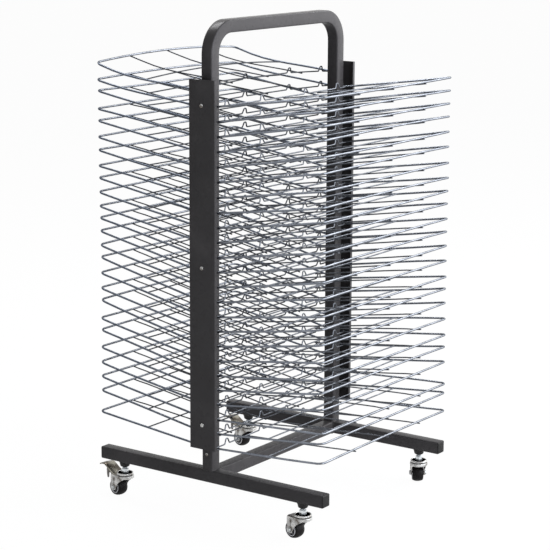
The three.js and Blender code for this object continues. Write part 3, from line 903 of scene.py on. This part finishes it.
def build_axle(corner, body, place):
    """Axle bolt with a hexagon head, washers and a nut outside the cheeks, and the ribs above it."""
    bm = bmesh.new()
    across = Matrix.Translation((-TRAIL, 0, AXLE_Z)) @ Matrix.Rotation(-math.pi / 2, 4, "X")
    for turn, high in ((math.pi, AXLE_HEAD_HIGH), (0, AXLE_NUT_HIGH)):
        flip = across @ Matrix.Rotation(turn, 4, "X")
        lathe(bm, WASHER, sides=32, matrix=flip)
        prism(bm, circle(AXLE_HEX_RADIUS, HEX_SIDES), AXLE_HEX_LOW, high, AXLE_HEX_BEVEL, flip)
    lathe(bm, BOLT_END, sides=20, matrix=across)
    lathe(bm, BOLT_SHANK, sides=24, matrix=across)
    finish_piece(f"axle_bolt_{corner}", bm, POLISHED, body, place, smooth=30)
    bm = bmesh.new()
    upright = Matrix.Rotation(math.pi / 2, 4, "X")
    for sign, low in ((-1, 0.0), (1, -RIB_HEIGHT)):
        cheek = Matrix.Translation((-TRAIL, sign * (CHEEK_OUTSIDE - RIB_SINK), AXLE_Z))
        prism(bm, RIB, low, low + RIB_HEIGHT, RIB_BEVEL, cheek @ upright)
    finish_piece(f"cheek_ribs_{corner}", bm, ZINC, body, place, smooth=35)


def pedal_section(half, fold):
    """Section of the pedal as (place across, height): raised middle, folded sides, underside."""
    upper = (
        (-half, -fold), (-half, -1.0), (-half + 0.3, -0.3), (-half + 1.0, 0.0),
        (-half * 0.4, 0.0), (-half * 0.25, 0.5), (0.0, 0.6),
    )
    under = (
        (-half + 1.6, -fold), (-half + 1.6, -2.2), (-half + 2.2, -1.7), (-half * 0.4, -1.7), (0.0, -1.2),
    )
    return mirrored_about(upper) + list(reversed(mirrored_about(under)))


def build_pedal(corner, body, place):
    """Arched brake pedal with folded sides and a rolled tip, and the lever that hangs below it."""
    centres = [Vector((x, z)) for x, z, half, fold in PEDAL]
    rings = []
    for i, (x, z, half, fold) in enumerate(PEDAL):
        ahead = centres[min(i + 1, len(centres) - 1)] - centres[max(i - 1, 0)]
        normal = Vector((ahead.y, -ahead.x)).normalized()
        section = pedal_section(half, fold)
        rings.append([Vector((x + normal.x * up, y, z + normal.y * up)) for y, up in section])
    bm = bmesh.new()
    skin(bm, rings)
    finish_piece(f"brake_pedal_{corner}", bm, DULL_ZINC, body, place, smooth=35)
    bm = bmesh.new()
    upright = Matrix.Rotation(math.pi / 2, 4, "X")
    for y in LEVER_PLACES:
        plate = Matrix.Translation((0, y + LEVER_SHEET, 0)) @ upright
        prism(bm, LEVER, 0, LEVER_SHEET, LEVER_BEVEL, plate)
    # The lever is darkened by painted shade, lying under the pedal
    finish_piece(f"brake_lever_{corner}", bm, SHADED_ZINC, body, place, smooth=35)


def build_wheel(corner, place):
    """Rounded tyre on a moulded hub with a pale bearing ring each side, about the axle."""
    body = f"wheel_{corner}"
    node = f"castor_wheel_{corner}"
    axle = place @ Matrix.Translation((-TRAIL, 0, AXLE_Z)) @ Matrix.Rotation(-math.pi / 2, 4, "X")
    turned_piece(f"tyre_{corner}", both_sides(TYRE), RUBBER, body, axle, TYRE_SIDES, [node])
    turned_piece(f"hub_{corner}", both_sides(HUB), GREY_PLASTIC, body, axle)
    for side, sign in (("a", -1), ("b", 1)):
        ring = [(radius, sign * height) for radius, height in BEARING_RING]
        turned_piece(f"bearing_ring_{corner}_{side}", ring, PALE_PLASTIC, body, axle)


def build_castors():
    """A fork, a wheel and a boss under the foot at each corner."""
    for corner, spec in CORNERS.items():
        stem = Matrix.Translation((spec["x"], spec["y"], 0))
        place = stem @ Matrix.Rotation(math.radians(spec["turn"]), 4, "Z")
        build_fork(corner, spec["brake"], place)
        build_wheel(corner, place)
        bm = bmesh.new()
        lathe(bm, CASTOR_BOSS, sides=40, matrix=stem)
        boss = f"castor_boss_{corner}"
        finish_piece(boss, bm, BLACK_PLASTIC, "base", replaces=["frame"])


# Stage, light and camera

def seen_directly(tree):
    """1 for rays that show the backdrop itself, 0 for the light it sheds."""
    path = tree.nodes.new("ShaderNodeLightPath")
    total = path.outputs["Is Camera Ray"]
    for kind in ("Is Glossy Ray", "Is Transmission Ray"):
        either = tree.nodes.new("ShaderNodeMath")
        either.operation = "MAXIMUM"
        tree.links.new(total, either.inputs[0])
        tree.links.new(path.outputs[kind], either.inputs[1])
        total = either.outputs["Value"]
    return total


def build_floor():
    """White floor that keeps a soft shadow."""
    mesh = bpy.data.meshes.new("floor")
    corners = [(x * FLOOR_HALF, y * FLOOR_HALF, 0) for x, y in ((-1, -1), (1, -1), (1, 1), (-1, 1))]
    mesh.from_pydata(corners, [], [(0, 1, 2, 3)])
    floor = bpy.data.objects.new("floor", mesh)
    bpy.context.scene.collection.objects.link(floor)
    material, tree, shader = node_material("floor_white", FLOOR_WHITE, metallic=0.0, roughness=0.9)
    glow = tree.nodes.new("ShaderNodeEmission")
    share = tree.nodes.new("ShaderNodeMath")
    share.operation = "MULTIPLY"
    share.inputs[1].default_value = FLOOR_GLOW_SHARE
    mix = tree.nodes.new("ShaderNodeMixShader")
    tree.links.new(seen_directly(tree), share.inputs[0])
    tree.links.new(share.outputs["Value"], mix.inputs["Fac"])
    tree.links.new(shader.outputs["BSDF"], mix.inputs[1])
    tree.links.new(glow.outputs["Emission"], mix.inputs[2])
    tree.links.new(mix.outputs["Shader"], tree.nodes["Material Output"].inputs["Surface"])
    mesh.materials.append(material)


def build_surround():
    """Even white surround that sheds little light of its own."""
    world = bpy.data.worlds.new("studio")
    bpy.context.scene.world = world
    world.use_nodes = True
    tree = world.node_tree
    background = tree.nodes["Background"]
    background.inputs["Color"].default_value = (1, 1, 1, 1)
    level = tree.nodes.new("ShaderNodeMapRange")
    level.inputs["To Min"].default_value = SURROUND_LIGHT
    level.inputs["To Max"].default_value = SURROUND_WHITE
    tree.links.new(seen_directly(tree), level.inputs["Value"])
    tree.links.new(level.outputs["Result"], background.inputs["Strength"])


def area_light(name, at, target, size, power, tint=(1, 1, 1)):
    """Square lamp, in metres and watts, that is not seen itself."""
    light = bpy.data.lights.new(name, "AREA")
    light.shape = "SQUARE"
    light.size = size
    light.energy = power
    light.color = tint
    lamp = bpy.data.objects.new(name, light)
    bpy.context.scene.collection.objects.link(lamp)
    lamp.location = at
    lamp.rotation_mode = "QUATERNION"
    lamp.rotation_quaternion = (Vector(target) - Vector(at)).to_track_quat("-Z", "Y")
    lamp.visible_camera = False


def build_lamps():
    """Broad lamps to the right and behind, and two smaller ones from above."""
    cool = (0.88, 0.93, 1.0)
    area_light("back_right", at=(3.0, 4.1, 1.9), target=(0, 0, 0.6), size=4.2, power=200)
    area_light("right", at=(3.4, 0.1, 2.2), target=(0, 0, 0.7), size=3.6, power=250, tint=cool)
    area_light("upper_left", at=(-1.45, 0.5, 3.4), target=(0, 0, 0.8), size=1.2, power=70)
    area_light("upper_back", at=(1.2, 3.2, 3.1), target=(0, 0, 0.8), size=1.5, power=70)


def build_camera():
    """Camera of the photograph: no shift, slightly rolled, looking down a little."""
    azimuth, pitch, roll = (math.radians(turn) for turn in (CAMERA_AZIMUTH, CAMERA_PITCH, CAMERA_ROLL))
    level = math.cos(pitch)
    ahead = Vector((-math.sin(azimuth) * level, math.cos(azimuth) * level, -math.sin(pitch)))
    right = Vector((math.cos(azimuth), math.sin(azimuth), 0))
    up = right.cross(ahead)
    rolled_right = right * math.cos(roll) + up * math.sin(roll)
    rolled_up = up * math.cos(roll) - right * math.sin(roll)
    data = bpy.data.cameras.new("camera")
    data.sensor_width = SENSOR_WIDTH
    data.lens = SENSOR_WIDTH * FOCAL_PIXELS / PHOTO_WIDTH
    data.clip_end = CAMERA_CLIP_END
    camera = bpy.data.objects.new("camera", data)
    bpy.context.scene.collection.objects.link(camera)
    turn = Matrix((rolled_right, rolled_up, -ahead)).transposed().to_4x4()
    camera.matrix_world = Matrix.Translation(CAMERA_AT + FRAME_SHIFT * MM) @ turn
    bpy.context.scene.camera = camera


build_hoop()
build_base()
build_welds()
build_cover("front", -1)
build_cover("rear", 1)
build_shelves()
build_castors()
build_floor()
build_surround()
build_camera()
build_lamps()
bpy.context.scene.view_settings.view_transform = "Standard"
